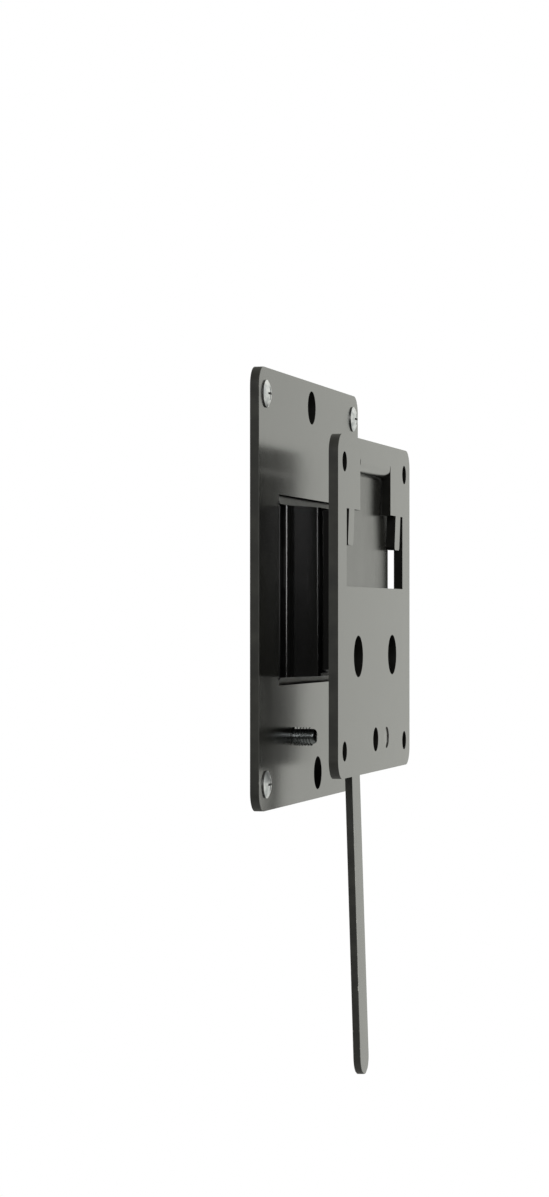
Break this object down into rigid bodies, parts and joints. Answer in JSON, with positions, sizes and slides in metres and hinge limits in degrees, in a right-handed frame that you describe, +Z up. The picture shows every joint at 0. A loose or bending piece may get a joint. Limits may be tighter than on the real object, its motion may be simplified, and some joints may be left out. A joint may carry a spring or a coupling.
{
  "type": "fixed tv wall mount",
  "caption": "Low-profile fixed wall mount for a flat screen: a wall plate with a raised receiver, a display plate hung on it by a folded tongue, and a hanging release lever.",
  "frame": {"origin": "centre of the wall plate's back face, at the middle of the square of four corner screws and on the receiver's ribs, which reach that face", "axes": "+Y into the wall, the display's side faces -Y, +Z up, +X to the right seen from the front"},
  "size_m": [0.114, 0.0202, 0.1877],
  "materials": {
    "black_paint": "satin black paint on pressed steel",
    "cast_black": "gloss black paint on a casting",
    "zinc": "bright zinc plate",
    "dark_zinc": "black oxide"
  },
  "bodies": {
    "mount": {"wall_plate": "black_paint", "receiver": "cast_black", "hanger_panel": "black_paint", "display_plate": "black_paint", "pivot_pin": "zinc", "pivot_clip": "zinc", "rear_washer": "zinc", "front_washer": "zinc", "panel_screw_left": "dark_zinc", "panel_screw_right": "dark_zinc", "panel_rivet_left": "dark_zinc", "panel_rivet_right": "dark_zinc", "mount_screw_top_left": "zinc", "mount_screw_top_right": "zinc", "mount_screw_low_left": "zinc", "mount_screw_low_right": "zinc", "lock_screw": "zinc"},
    "lever": {"release_lever": "black_paint"}
  },
  "joints": [
    {"name": "lever_swing", "type": "hinge", "parent": "mount", "child": "lever", "pos_m": [0, -0.0136, -0.012], "axis": [0, -1, 0], "range_deg": [0, 15]}
  ]
}
